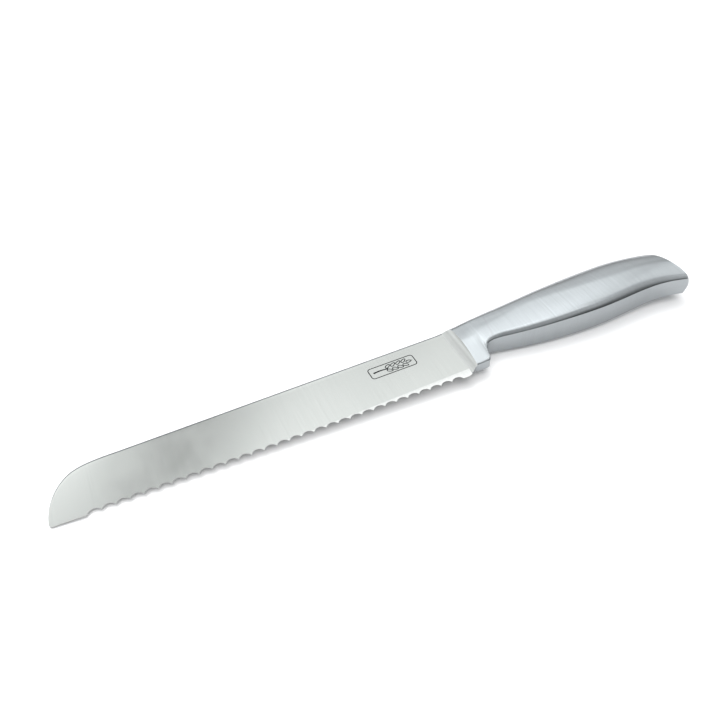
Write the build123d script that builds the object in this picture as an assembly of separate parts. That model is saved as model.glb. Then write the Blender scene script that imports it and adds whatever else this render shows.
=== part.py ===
from build123d import *
from collections import namedtuple
import math
import os

# Bread knife with a welded, hollow stainless handle.  Millimetres.
# +X runs towards the butt of the handle, +Y towards the spine, +Z out of the left-hand side.
# Shapes are drawn from a datum near the blade's entry into the bolster (X), on the tooth-tip
# line (Y) and on the blade's mid-plane (Z), and are moved to the middle of the knife on export.

# ---- blade sizes ---------------------------------------------------------------
JOINT_X = -0.3            # line where the blade enters the bolster
SPINE_HALF = 1.0          # half thickness at the spine
EDGE_HALF = 0.45          # half thickness at the tooth-tip line before the edge is ground
HEEL_HEIGHT = 32.1        # spine height at the bolster
TAPER = math.degrees(math.atan2(SPINE_HALF - EDGE_HALF, HEEL_HEIGHT))   # of each face

# Side outline of the blade: X, Y
TIP_CURVE = [
    (-169.0, 28.4), (-174.0, 28.37), (-178.7, 28.1), (-182.8, 27.6), (-186.2, 26.8),
    (-188.8, 25.8), (-191.0, 24.4), (-192.8, 22.9), (-194.4, 21.3), (-195.7, 19.6),
    (-196.9, 17.8), (-197.9, 16.0), (-198.75, 14.2), (-199.5, 12.3), (-200.1, 10.4),
    (-200.6, 8.4), (-201.0, 6.4), (-201.3, 4.2), (-201.4, 2.2),
]
TIP_CORNER = [TIP_CURVE[-1], (-201.1, 1.0), (-200.0, 0.45)]
HEEL_CURVE = [(-3.0, 0.0), (-1.6, 0.25), (JOINT_X, 0.9)]

SCALLOPS = 30
PITCH = 6.0               # tooth to tooth
SCALLOP_R = 3.25          # radius of one scallop, seen from the side
REAR_TOOTH_X = -6.1
FRONT_TOOTH_X = REAR_TOOTH_X - SCALLOPS * PITCH
SCALLOP_ANGLE = 20.0      # inclination of the scallop grind to the blade plane
SCALLOP_LEVEL_Y = 1.0     # height at which the left-hand surface sets the scallop's depth
GROOVE_RISE = 1.5         # start of a groove cutter, outside the left-hand surface
GROOVE_DROP = 6.0         # its extent towards the right-hand side

LEFT_BEVEL_FRONT_X = -122.0   # the left-hand bevel runs out here
LEFT_BEVEL_HEEL_X = -2.0
LEFT_BEVEL_HEEL_WIDTH = 4.2
LEFT_BEVEL_ANGLE = 5.5
RIGHT_BEVEL_WIDTH = 2.0
RIGHT_BEVEL_ANGLE = 10.0

TANG_LENGTH = 30.0        # behind the joint line
TANG_ROOT = 1.0           # overlap in front of the joint line
TANG_LOW_Y = 18.0
TANG_HIGH_Y = 28.0
TANG_HALF = 0.5           # half thickness, thinner than the blade
SLOT_CLEARANCE = 0.05
SLOT_END_X = JOINT_X + 119   # well behind the bolster

# ---- handle sizes --------------------------------------------------------------
FILLET_R = 5.0            # ground fillet between blade face and bolster
WHEEL_REACH = 10.0        # extent of the fillet cutter in front of the joint line
SHEET = 1.0               # wall of the pressed handle halves
SEAM_HALF = 0.35          # half width of the weld seam between the halves
RING_WELD = 0.9           # width of the weld between bolster and halves
SPIGOT_LENGTH = 5.0       # bolster tongue inside the halves
SPIGOT_GAP = 0.05
BEAD = 1.3                # size of the weld bead round the tang
BEAD_FILLET_R = 0.8
TANG_PROUD = 0.8          # length of tang left bare behind the bead
BULGE = 0.087             # convexity of the end wall, mm per mm squared of half thickness
BOLSTER_BACK_X = 23.5     # where the plane that ends the bolster meets the back

# Cross-sections of the handle, each in an upright plane from a point on the underside (low)
# to a point on the back: low X, low Y, back X, back Y, half thickness at the lower crease and
# at the ridge, place of the ridge as a fraction of the height, fall and exponent of the lower
# flank, width of the lower roll-off, fall and exponent of the upper flank, rounded back depth.
Station = namedtuple(
    "Station",
    "low_x low_y back_x back_y crease_half ridge_half ridge_at "
    "low_fall low_power roll_width up_fall up_power round_depth",
)
STATIONS = [Station(*row) for row in [
    (-1.5, 0.4, -1.5, 32.2, 2.00, 4.00, 0.55, 1.80, 1.0, 1.0, 0.15, 1.3, 5.0),
    (0.8, 1.7, 0.2, 32.5, 2.10, 4.10, 0.55, 1.80, 1.0, 1.0, 0.18, 1.3, 5.0),
    (3.0, 2.9, 2.0, 32.8, 2.20, 4.20, 0.54, 1.78, 1.0, 1.0, 0.20, 1.3, 5.0),
    (5.4, 3.0, 4.6, 33.1, 2.30, 4.30, 0.53, 1.78, 1.0, 1.0, 0.22, 1.3, 5.0),
    (8.2, 3.1, 7.6, 33.4, 2.40, 4.45, 0.52, 1.80, 1.1, 1.1, 0.26, 1.3, 5.0),
    (10.8, 3.4, 10.6, 33.8, 2.45, 4.70, 0.51, 1.90, 1.1, 1.2, 0.30, 1.3, 5.0),
    (12.0, 4.7, 13.0, 34.1, 2.65, 4.90, 0.50, 1.80, 1.2, 1.4, 0.34, 1.3, 5.0),
    (12.4, 7.4, 15.0, 34.3, 3.00, 5.05, 0.46, 1.42, 1.2, 1.6, 0.38, 1.3, 5.0),
    (13.4, 10.2, 17.2, 34.6, 3.60, 5.25, 0.41, 0.92, 1.3, 1.9, 0.44, 1.3, 5.0),
    (15.1, 12.3, 19.8, 34.9, 4.20, 5.50, 0.37, 0.58, 1.4, 2.2, 0.52, 1.4, 5.0),
    (17.8, 13.2, 22.8, 35.2, 4.50, 5.80, 0.37, 0.45, 1.5, 2.6, 0.60, 1.4, 5.1),
    (22.0, 13.1, 26.5, 35.7, 4.70, 6.10, 0.40, 0.45, 1.6, 3.0, 0.72, 1.4, 5.2),
    (28.0, 12.1, 31.5, 36.3, 5.00, 6.50, 0.43, 0.50, 1.6, 3.3, 0.90, 1.5, 5.4),
    (36.0, 10.8, 38.5, 37.1, 5.30, 7.00, 0.49, 0.62, 1.7, 3.6, 1.10, 1.5, 5.6),
    (46.0, 9.5, 48.0, 38.0, 5.60, 7.60, 0.52, 0.75, 1.8, 4.0, 1.30, 1.6, 5.8),
    (58.0, 8.5, 59.5, 39.3, 5.90, 8.10, 0.53, 0.90, 1.9, 4.4, 1.50, 1.6, 6.0),
    (70.0, 7.9, 71.0, 40.5, 6.00, 8.40, 0.54, 1.00, 2.0, 4.8, 1.70, 1.7, 6.2),
    (82.0, 7.8, 82.5, 41.4, 6.00, 8.50, 0.54, 1.05, 2.0, 5.0, 1.80, 1.7, 6.3),
    (94.0, 8.5, 94.0, 42.0, 5.90, 8.50, 0.52, 1.10, 2.0, 5.0, 1.90, 1.8, 6.4),
    (106.0, 9.6, 105.5, 42.3, 5.75, 8.35, 0.50, 1.15, 2.0, 4.8, 1.95, 1.8, 6.4),
    (117.0, 10.3, 116.5, 42.0, 5.50, 8.05, 0.47, 1.25, 2.0, 4.4, 2.00, 1.9, 6.3),
    (127.0, 9.9, 127.0, 41.0, 5.20, 7.65, 0.45, 1.30, 2.0, 3.9, 2.00, 1.9, 6.2),
    (135.0, 8.5, 136.0, 39.5, 4.95, 7.25, 0.43, 1.30, 2.0, 3.5, 2.00, 2.0, 6.1),
    (142.0, 6.7, 144.0, 37.6, 4.80, 6.90, 0.42, 1.25, 2.0, 3.2, 2.00, 2.0, 6.0),
    (150.0, 4.2, 153.0, 35.0, 4.65, 6.50, 0.42, 1.20, 2.0, 3.0, 2.00, 2.0, 5.9),
]]
HOLLOW_STATIONS = STATIONS[8:]
SPIGOT_STATIONS = STATIONS[8:15]

# End wall of the handle on the mid-plane: Y, X
END_WALL = [
    (-6.0, 110.0), (0.0, 119.0), (4.0, 127.0), (6.2, 135.0), (6.7, 137.6), (7.3, 139.6),
    (8.4, 141.3), (10.0, 142.4), (12.5, 143.1), (16.0, 143.4), (20.0, 143.1), (24.0, 142.4),
    (27.0, 141.5), (30.0, 140.3), (33.0, 138.7), (35.5, 136.8), (37.3, 134.9), (38.6, 132.6),
    (39.6, 130.0), (40.6, 126.5), (42.5, 117.0), (46.0, 98.0),
]

# Middle of the knife's overall box
CENTRE_X = (TIP_CURVE[-1][0] + max(x for y, x in END_WALL)) / 2
CENTRE_Y = max(station.back_y for station in STATIONS) / 2


# ---- handle sections -----------------------------------------------------------
def upright(station):
    """Height of a section and its unit direction from underside to back."""
    run_x = station.back_x - station.low_x
    run_y = station.back_y - station.low_y
    height = math.hypot(run_x, run_y)
    return height, run_x / height, run_y / height


def half_thickness(station, along):
    """Half thickness at a distance along the section from its lower end."""
    s = station
    height = upright(s)[0]
    ridge = s.ridge_at * height
    back = height - s.round_depth
    if along < ridge:
        roll_off = max(0.0, 1 - along / s.roll_width) ** 2.2
        z = s.ridge_half - s.low_fall * ((ridge - along) / ridge) ** s.low_power
        z -= (s.ridge_half - s.low_fall - s.crease_half) * roll_off
    else:
        z = s.ridge_half - s.up_fall * ((along - ridge) / (back - ridge)) ** s.up_power
    rounding = min(1.0, max(0.0, (along - back) / s.round_depth))
    return z * max(0.0, 1 - rounding ** 2.2) ** (1 / 2.2)


def flank(station):
    """(distance, half thickness) pairs from the lower crease to the middle of the back."""
    roll, depth = station.roll_width, station.round_depth
    back = upright(station)[0] - depth
    places = [roll * (i / 5) ** 1.3 for i in range(5)]
    places += [roll + (back - roll) * i / 9 for i in range(9)]
    places += [back + depth * math.sin(math.pi / 2 * i / 7) for i in range(8)]
    return [(along, half_thickness(station, along)) for along in places]


def inset(points, wall):
    """The flank moved inwards by the wall thickness."""
    moved = []
    for before, (along, z), after in zip([points[0]] + points, points, points[1:]):
        step, rise = after[0] - before[0], after[1] - before[1]
        length = math.hypot(step, rise)
        moved.append((along + wall * rise / length, z - wall * step / length))
    moved.append((points[-1][0] - wall, 0.0))
    kept = [point for point in moved if point[0] > wall + 0.25]
    # Carry the flank straight on down to the inside of the underside.
    (along0, z0), (along1, z1) = kept[:2]
    start = (wall, z0 - (z1 - z0) / (along1 - along0) * (along0 - wall))
    return [start] + kept


def section_wire(station, wall=0.0):
    """Closed outline of one section: a straight underside and one curve over the back."""
    points = flank(station)
    if wall:
        points = inset(points, wall)
    _, ux, uy = upright(station)

    def at(along, z):
        return (station.low_x + ux * along, station.low_y + uy * along, z)

    curve = [at(along, z) for along, z in points]
    curve += [at(along, -z) for along, z in reversed(points[:-1])]
    return Wire([Spline(*curve), Line(curve[-1], curve[0])])


def loft_sections(stations, wall=0.0):
    return Solid.make_loft([section_wire(station, wall) for station in stations])


def section_plane(station, shift=0.0):
    """Upright plane of a section, facing the butt."""
    _, ux, uy = upright(station)
    normal = Vector(uy, -ux, 0)
    origin = Vector(station.low_x, station.low_y, 0) + normal * shift
    return Plane(origin=origin, x_dir=(ux, uy, 0), z_dir=normal)


def station_at(back_x):
    """Section at any place along the back, by linear interpolation."""
    for front, rear in zip(STATIONS, STATIONS[1:]):
        if front.back_x <= back_x <= rear.back_x:
            f = (back_x - front.back_x) / (rear.back_x - front.back_x)
            return Station(*(a + (b - a) * f for a, b in zip(front, rear)))
    raise ValueError(back_x)


# ---- cutters -------------------------------------------------------------------
def behind(plane):
    """Half space on the butt side of a section plane, as a large block."""
    return extrude(plane * Rectangle(400, 200), amount=400)


def end_cutter(wall=0.0):
    """Everything beyond the convex end wall."""
    levels = [3.5 * i for i in range(-4, 5)]
    grid = [[Vector(x - wall - BULGE * z * z, y, z) for z in levels] for y, x in END_WALL]
    return Solid.extrude(Face.make_surface_from_array_of_points(grid), Vector(80, 0, 0))


def handle_slab(middle_z, thickness):
    """Slab parallel to the mid-plane, longer and taller than the handle."""
    return Pos(60, 20, middle_z) * Box(300, 120, thickness)


def tang_block(start_x, end_x, margin=0.0):
    """Block with the tang's cross-section, grown by a margin all round."""
    height = TANG_HIGH_Y - TANG_LOW_Y + 2 * margin
    block = Box(end_x - start_x, height, 2 * (TANG_HALF + margin))
    return Pos((start_x + end_x) / 2, (TANG_LOW_Y + TANG_HIGH_Y) / 2, 0) * block


def both_sides(tool):
    return tool, mirror(tool, about=Plane.XY)


# ---- handle --------------------------------------------------------------------
OUTER = loft_sections(STATIONS) - end_cutter()
TONGUE = loft_sections(SPIGOT_STATIONS, SHEET + SPIGOT_GAP)
CUT_STATION = station_at(BOLSTER_BACK_X)
BOLSTER_END = section_plane(CUT_STATION)
SHELL_START = section_plane(CUT_STATION, RING_WELD)
SPIGOT_END = section_plane(CUT_STATION, RING_WELD + SPIGOT_LENGTH)


def make_bolster():
    bolster = OUTER - behind(BOLSTER_END)
    bolster = bolster - Pos(JOINT_X - 20, 15, 0) * Box(40, 80, 40)

    # The spigot stands on the bolster's rear face.
    spigot = (TONGUE & behind(section_plane(CUT_STATION, -0.01))) - behind(SPIGOT_END)
    bolster = bolster + (spigot & behind(BOLSTER_END))

    # Grinding-wheel fillets that start flush with the tapered faces of the blade.
    wheel = Pos(JOINT_X, 0, 0) * (Rot(90, 0, 0) * Cylinder(FILLET_R, 120))
    block = Box(FILLET_R + WHEEL_REACH, 120, 20)
    wheel = wheel + Pos(JOINT_X + (FILLET_R - WHEEL_REACH) / 2, 0, 10) * block
    wheel = Pos(0, HEEL_HEIGHT, SPINE_HALF + FILLET_R) * Rot(TAPER, 0, 0) * wheel
    for cutter in both_sides(wheel):
        bolster = bolster - cutter

    return bolster - tang_block(JOINT_X - TANG_ROOT, SLOT_END_X, SLOT_CLEARANCE)


def make_skin():
    """Hollow shell behind the bolster weld, before it is split into halves and seam."""
    inner = loft_sections(HOLLOW_STATIONS, SHEET) - end_cutter(SHEET)
    return (OUTER & behind(SHELL_START)) - inner


def make_joint_weld():
    """Ring between bolster and handle halves, round the spigot."""
    return ((OUTER & behind(BOLSTER_END)) - behind(SHELL_START)) - TONGUE


def make_tang_weld():
    """Bead round the tang, on the rear end of the spigot."""
    tang_end = JOINT_X + TANG_LENGTH
    bead = tang_block(tang_end - 16, tang_end + 8, BEAD)
    bead = fillet(bead.edges().filter_by(Axis.X), BEAD_FILLET_R)
    in_front = Pos(tang_end - TANG_PROUD - 50, 20, 0) * Box(100, 120, 40)
    bead = bead & behind(SPIGOT_END) & in_front
    return bead - tang_block(JOINT_X - TANG_ROOT, SLOT_END_X)


# ---- blade ---------------------------------------------------------------------
def face_z(y):
    """Height of the left-hand face above the mid-plane."""
    return EDGE_HALF + (SPINE_HALF - EDGE_HALF) * y / HEEL_HEIGHT


def left_bevel_plane():
    """Plane of the narrow left-hand bevel, which widens towards the heel."""
    heel = Vector(LEFT_BEVEL_HEEL_X, LEFT_BEVEL_HEEL_WIDTH, face_z(LEFT_BEVEL_HEEL_WIDTH))
    along = Vector(LEFT_BEVEL_FRONT_X, 0, face_z(0)) - heel
    angle = math.radians(LEFT_BEVEL_ANGLE)
    downhill = Vector(0, -math.cos(angle), -math.sin(angle))
    return Plane(origin=heel, x_dir=along, z_dir=along.cross(downhill))


def right_bevel_plane():
    angle = math.radians(RIGHT_BEVEL_ANGLE)
    return Plane(
        origin=(0, RIGHT_BEVEL_WIDTH, -face_z(RIGHT_BEVEL_WIDTH)),
        x_dir=(1, 0, 0),
        z_dir=(0, -math.sin(angle), -math.cos(angle)),
    )


def left_surface_z(x, y, bevel):
    """Height of the left-hand surface, bevel included."""
    n, o = bevel.z_dir, bevel.origin
    return min(face_z(y), o.Z - (n.X * (x - o.X) + n.Y * (y - o.Y)) / n.Z)


def scallop_groove(x, bevel):
    """Oblique round groove, ground from the right-hand side."""
    centre_y = -math.sqrt(SCALLOP_R**2 - (PITCH / 2) ** 2)
    slope = math.tan(math.radians(SCALLOP_ANGLE))
    surface_z = left_surface_z(x, SCALLOP_LEVEL_Y, bevel)
    start = Plane(origin=(x, centre_y - GROOVE_RISE / slope, surface_z + GROOVE_RISE))
    disc = start * Circle(SCALLOP_R)
    return Solid.extrude(disc.face(), Vector(0, GROOVE_DROP / slope, -GROOVE_DROP))


def make_blade():
    outline = Wire([
        Line((JOINT_X, HEEL_HEIGHT), TIP_CURVE[0]),
        Spline(*TIP_CURVE, tangents=[(-1, -0.022), (0, -1)]),
        Spline(*TIP_CORNER, tangents=[(0, -1), (1, -0.1)]),
        Line(TIP_CORNER[-1], (FRONT_TOOTH_X, 0.0)),
        Line((FRONT_TOOTH_X, 0.0), HEEL_CURVE[0]),
        Spline(*HEEL_CURVE, tangents=[(1, 0), (1, 0.6)]),
        Line(HEEL_CURVE[-1], (JOINT_X, HEEL_HEIGHT)),
    ])
    blade = extrude(make_face(outline), amount=2, both=True)

    # Both faces taper evenly from the spine to the edge.
    waste = Pos(-100, 0, 10) * Box(260, 120, 20)
    waste = Pos(0, HEEL_HEIGHT, SPINE_HALF) * Rot(TAPER, 0, 0) * waste
    for cutter in both_sides(waste):
        blade = blade - cutter

    left_bevel = left_bevel_plane()
    blade = blade - extrude(left_bevel * Rectangle(500, 60), amount=10)
    blade = blade - extrude(right_bevel_plane() * Rectangle(700, 60), amount=10)

    for i in range(SCALLOPS):
        blade = blade - scallop_groove(REAR_TOOTH_X - PITCH * (i + 0.5), left_bevel)

    return blade + tang_block(JOINT_X - TANG_ROOT, JOINT_X + TANG_LENGTH)


# ---- export --------------------------------------------------------------------
skin = make_skin()
pieces = {
    "blade": make_blade(),
    "bolster": make_bolster(),
    "handle_shell_left": skin & handle_slab(SEAM_HALF + 20, 40),
    "handle_shell_right": skin & handle_slab(-SEAM_HALF - 20, 40),
    "seam_weld": skin & handle_slab(0, 2 * SEAM_HALF),
    "joint_weld": make_joint_weld(),
    "tang_weld": make_tang_weld(),
}
os.makedirs("parts", exist_ok=True)
for name, shape in pieces.items():
    export_step(Pos(-CENTRE_X, -CENTRE_Y, 0) * shape, f"parts/{name}.step")
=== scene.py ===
"""A serrated knife with a ground bolster and a hollow, welded steel handle.

It lies on its right-hand side: the tip points to -X, the handle runs to +X, the cutting edge faces
-Y, the spine and the handle's back face +Y, and the left-hand face looks up to +Z.
"""

import bpy
import bmesh
import math
import numpy as np
from collections import namedtuple
from mathutils import Matrix, Vector


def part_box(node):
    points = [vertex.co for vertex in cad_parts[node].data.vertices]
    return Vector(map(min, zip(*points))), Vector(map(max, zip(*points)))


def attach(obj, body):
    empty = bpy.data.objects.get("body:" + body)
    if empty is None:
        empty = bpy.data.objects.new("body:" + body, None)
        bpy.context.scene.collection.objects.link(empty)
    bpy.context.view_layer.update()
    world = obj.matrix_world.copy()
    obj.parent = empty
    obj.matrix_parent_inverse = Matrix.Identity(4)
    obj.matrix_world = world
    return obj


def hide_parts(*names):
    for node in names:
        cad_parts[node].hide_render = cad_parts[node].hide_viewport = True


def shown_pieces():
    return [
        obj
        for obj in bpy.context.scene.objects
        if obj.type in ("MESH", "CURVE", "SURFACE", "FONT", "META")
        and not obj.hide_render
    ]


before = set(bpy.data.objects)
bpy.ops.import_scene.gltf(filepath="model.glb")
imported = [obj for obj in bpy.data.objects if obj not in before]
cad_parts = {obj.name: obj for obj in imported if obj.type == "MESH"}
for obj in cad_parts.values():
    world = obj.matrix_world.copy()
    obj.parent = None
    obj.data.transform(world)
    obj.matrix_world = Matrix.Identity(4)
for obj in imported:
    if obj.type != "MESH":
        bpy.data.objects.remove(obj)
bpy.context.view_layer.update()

# Shapes are in millimetres. Their origin is level with the blade's lowest y, BLADE_LENGTH from the tip.
MM = 0.001
BLADE_LENGTH = 201.4
blade_low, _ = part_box("blade")
ORIGIN_X = blade_low.x / MM + BLADE_LENGTH
ORIGIN_Y = blade_low.y / MM


# ------------------------------------------------------------------ curves and roots
def cubic(knots, values, t):
    """C1 cubic through the rows of values at the knots."""
    knots, values = np.asarray(knots, float), np.asarray(values, float)
    flat = values.ndim == 1
    if flat:
        values = values[:, None]
    t = np.asarray(t, float)
    shape = t.shape
    t = t.ravel()
    step = np.diff(knots)[:, None]
    rise = np.diff(values, axis=0) / step
    slope = np.zeros_like(values)
    slope[1:-1] = (rise[:-1] * step[1:] + rise[1:] * step[:-1]) / (step[1:] + step[:-1])
    slope[0], slope[-1] = rise[0], rise[-1]
    i = np.clip(np.searchsorted(knots, t, side="right") - 1, 0, len(knots) - 2)
    width = step[i]
    s = (t - knots[i])[:, None] / width
    out = (
        (2 * s**3 - 3 * s**2 + 1) * values[i]
        + (s**3 - 2 * s**2 + s) * width * slope[i]
        + (-2 * s**3 + 3 * s**2) * values[i + 1]
        + (s**3 - s**2) * width * slope[i + 1]
    )
    return out[:, 0].reshape(shape) if flat else out.reshape(shape + (values.shape[1],))


def path_lengths(points):
    """Distance from the first point to each point, along straight pieces."""
    steps = np.linalg.norm(np.diff(points, axis=0), axis=1)
    return np.concatenate([[0.0], np.cumsum(steps)])


def spaced_along(points, count):
    """Evenly spaced points on a smooth curve through the given ones."""
    lengths = path_lengths(points)
    return cubic(lengths, points, lengths[-1] * np.linspace(0.0, 1.0, count))


def bisect(func, low, high, steps=44):
    """Root of an increasing function; works on arrays."""
    low, high = np.array(low, float), np.array(high, float)
    for _ in range(steps):
        mid = (low + high) / 2
        past = func(mid) > 0
        high = np.where(past, mid, high)
        low = np.where(past, low, mid)
    return (low + high) / 2


# ------------------------------------------------------------------ mesh building
UV_PER_MM = 0.01


class Shape:
    """Points with (u, v, wear, edge tag) each, and faces with a material index each."""

    def __init__(self):
        self.points, self.data, self.faces, self.mats = [], [], [], []

    def add(self, points, u, v, wear=0.0, tag=0):
        """Add a grid of points; returns their numbers in the same grid."""
        points = np.asarray(points, float)
        grid = points.shape[:-1]
        first = len(self.points)
        self.points.extend(points.reshape(-1, 3).tolist())
        data = [np.broadcast_to(np.asarray(d, float), grid).ravel() for d in (u, v, wear, tag)]
        self.data.extend(np.stack(data, 1).tolist())
        return first + np.arange(len(data[0])).reshape(grid)

    def quads(self, idx, mat=0):
        """Faces over a grid; mat is one material index or a grid of them."""
        for i in range(idx.shape[0] - 1):
            for j in range(idx.shape[1] - 1):
                self.faces.append((idx[i, j], idx[i, j + 1], idx[i + 1, j + 1], idx[i + 1, j]))
                self.mats.append(mat if np.isscalar(mat) else int(mat[i, j]))

    def strip(self, a, b, mat=0):
        self.quads(np.stack([a, b], 0), mat)

    def face(self, idx):
        self.faces.append(tuple(int(i) for i in idx))
        self.mats.append(0)

    def make(self, name, materials, angle=30.0, merge=0.0015):
        """Build the object; edges are sharp above the angle or between two points of one tag."""
        mesh = bpy.data.meshes.new(name)
        bm = bmesh.new()
        wear_layer = bm.verts.layers.float.new("wear")
        tag_layer = bm.verts.layers.int.new("edge_tag")
        uv_layer = bm.loops.layers.uv.new("UVMap")
        verts = []
        for (x, y, z), (_, _, wear, tag) in zip(self.points, self.data):
            vert = bm.verts.new(((x + ORIGIN_X) * MM, (y + ORIGIN_Y) * MM, z * MM))
            vert[wear_layer] = wear
            vert[tag_layer] = int(tag)
            verts.append(vert)
        for corners, mat in zip(self.faces, self.mats):
            ids = list(dict.fromkeys(corners))
            if len(ids) < 3:
                continue
            # Guards against a second face on the same corners, where a grid folds flat.
            try:
                face = bm.faces.new([verts[i] for i in ids])
            except ValueError:
                continue
            face.material_index = mat
            for corner, i in zip(face.loops, ids):
                corner[uv_layer].uv = (self.data[i][0] * UV_PER_MM, self.data[i][1] * UV_PER_MM)
        bmesh.ops.remove_doubles(bm, verts=bm.verts[:], dist=merge * MM)
        bmesh.ops.dissolve_degenerate(bm, edges=bm.edges[:], dist=1e-8)
        loose = [v for v in bm.verts if not v.link_faces]
        bmesh.ops.delete(bm, geom=loose, context="VERTS")
        bmesh.ops.recalc_face_normals(bm, faces=bm.faces[:])
        limit = math.radians(angle)
        for edge in bm.edges:
            sharp = len(edge.link_faces) != 2 or edge.calc_face_angle(0) > limit
            tag = edge.verts[0][tag_layer]
            if tag and tag == edge.verts[1][tag_layer]:
                sharp = True
            edge.smooth = not sharp
        for face in bm.faces:
            face.smooth = True
        bm.to_mesh(mesh)
        bm.free()
        for material in materials:
            mesh.materials.append(material)
        obj = bpy.data.objects.new(name, mesh)
        bpy.context.scene.collection.objects.link(obj)
        return obj


def closed(idx):
    """Index grid (columns, loop) with the loop closed."""
    return np.concatenate([idx, idx[:, :1]], axis=1)


def full_values(half):
    """Values round the whole section from those of the left half."""
    return np.concatenate([half, half[..., -2:0:-1]], axis=-1)


def full_points(half):
    """Points round the whole section: the left half, then its mirror image."""
    other = half[..., -2:0:-1, :].copy()
    other[..., 2] *= -1
    return np.concatenate([half, other], axis=-2)


def stand_in(obj, cad_piece):
    """Let the object ride on the root in place of a CAD piece."""
    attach(obj, "root")
    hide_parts(cad_piece)


# ------------------------------------------------------------------ materials
def maths(tree, op, a, b, clamp=False):
    """Math node on two inputs, each a number or a socket."""
    node = tree.nodes.new("ShaderNodeMath")
    node.operation = op
    node.use_clamp = clamp
    for i, value in enumerate((a, b)):
        if isinstance(value, (int, float)):
            node.inputs[i].default_value = value
        else:
            tree.links.new(value, node.inputs[i])
    return node.outputs[0]


def ramp(tree, value, from_low, from_high, to_low, to_high, smooth=False):
    node = tree.nodes.new("ShaderNodeMapRange")
    node.interpolation_type = "SMOOTHSTEP" if smooth else "LINEAR"
    node.inputs["From Min"].default_value = from_low
    node.inputs["From Max"].default_value = from_high
    node.inputs["To Min"].default_value = to_low
    node.inputs["To Max"].default_value = to_high
    tree.links.new(value, node.inputs["Value"])
    return node.outputs["Result"]


def noise_ramp(tree, value, to_low, to_high):
    """Stretch the range that noise mostly fills to new limits."""
    return ramp(tree, value, 0.3, 0.7, to_low, to_high)


def noise(tree, coords, scale, detail, rough, distortion=0.0):
    mapping = tree.nodes.new("ShaderNodeMapping")
    mapping.inputs["Scale"].default_value = scale
    tree.links.new(coords, mapping.inputs["Vector"])
    node = tree.nodes.new("ShaderNodeTexNoise")
    node.inputs["Scale"].default_value = 1.0
    node.inputs["Detail"].default_value = detail
    node.inputs["Roughness"].default_value = rough
    node.inputs["Distortion"].default_value = distortion
    tree.links.new(mapping.outputs[0], node.inputs["Vector"])
    return node.outputs["Fac"]


def scaled_colour(tree, colour, factor):
    node = tree.nodes.new("ShaderNodeVectorMath")
    node.operation = "SCALE"
    node.inputs[0].default_value = colour
    tree.links.new(factor, node.inputs["Scale"])
    return node.outputs[0]


def steel(name, colour, rough, brush, aniso, streak, bump, cloud, wear_gain=0.12):
    """Steel with fine grind lines, soft clouding and brighter worn edges.

    brush: noise scale per axis, per metre; streak, cloud and wear_gain: how far the lines, the
    clouding and the wear move the base colour; bump: strength of the lines' relief.
    """
    mat = bpy.data.materials.new(name)
    mat.use_nodes = True
    tree = mat.node_tree
    tree.nodes.clear()
    out = tree.nodes.new("ShaderNodeOutputMaterial")
    bsdf = tree.nodes.new("ShaderNodeBsdfPrincipled")
    tree.links.new(bsdf.outputs[0], out.inputs[0])
    coords = tree.nodes.new("ShaderNodeTexCoord").outputs["Object"]
    fine = noise(tree, coords, brush, detail=5.0, rough=0.62)
    hair = noise(tree, coords, tuple(c * 2.4 for c in brush), detail=2.0, rough=0.6)
    broad = noise(tree, coords, (70.0, 38.0, 38.0), detail=3.0, rough=0.5, distortion=0.3)
    fine_part = maths(tree, "MULTIPLY", fine, 0.65)
    hair_part = maths(tree, "MULTIPLY", hair, 0.35)
    lines = maths(tree, "ADD", fine_part, hair_part)
    attribute = tree.nodes.new("ShaderNodeAttribute")
    attribute.attribute_name = "wear"
    worn = maths(tree, "MULTIPLY", attribute.outputs["Fac"], noise_ramp(tree, fine, 0.55, 1.0))

    streaks = noise_ramp(tree, lines, 1.0 - streak, 1.0 + streak)
    tone = maths(tree, "ADD", streaks, noise_ramp(tree, broad, -cloud, cloud))
    tone = maths(tree, "ADD", tone, maths(tree, "MULTIPLY", worn, wear_gain))
    tree.links.new(scaled_colour(tree, colour, tone), bsdf.inputs["Base Color"])

    line_rough = noise_ramp(tree, lines, rough * 1.15, rough * 0.85)
    cloud_rough = noise_ramp(tree, broad, -0.1 * rough, 0.1 * rough)
    roughness = maths(tree, "ADD", line_rough, cloud_rough)
    polish = maths(tree, "MULTIPLY", worn, 0.08)
    roughness = maths(tree, "SUBTRACT", roughness, polish, clamp=True)
    tree.links.new(roughness, bsdf.inputs["Roughness"])

    bsdf.inputs["Metallic"].default_value = 1.0
    bsdf.inputs["Anisotropic"].default_value = aniso
    tangent = tree.nodes.new("ShaderNodeTangent")
    tangent.direction_type = "UV_MAP"
    tangent.uv_map = "UVMap"
    tree.links.new(tangent.outputs[0], bsdf.inputs["Tangent"])
    relief = tree.nodes.new("ShaderNodeBump")
    relief.inputs["Strength"].default_value = bump
    relief.inputs["Distance"].default_value = 0.00004
    tree.links.new(lines, relief.inputs["Height"])
    tree.links.new(relief.outputs[0], bsdf.inputs["Normal"])
    return mat


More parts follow.
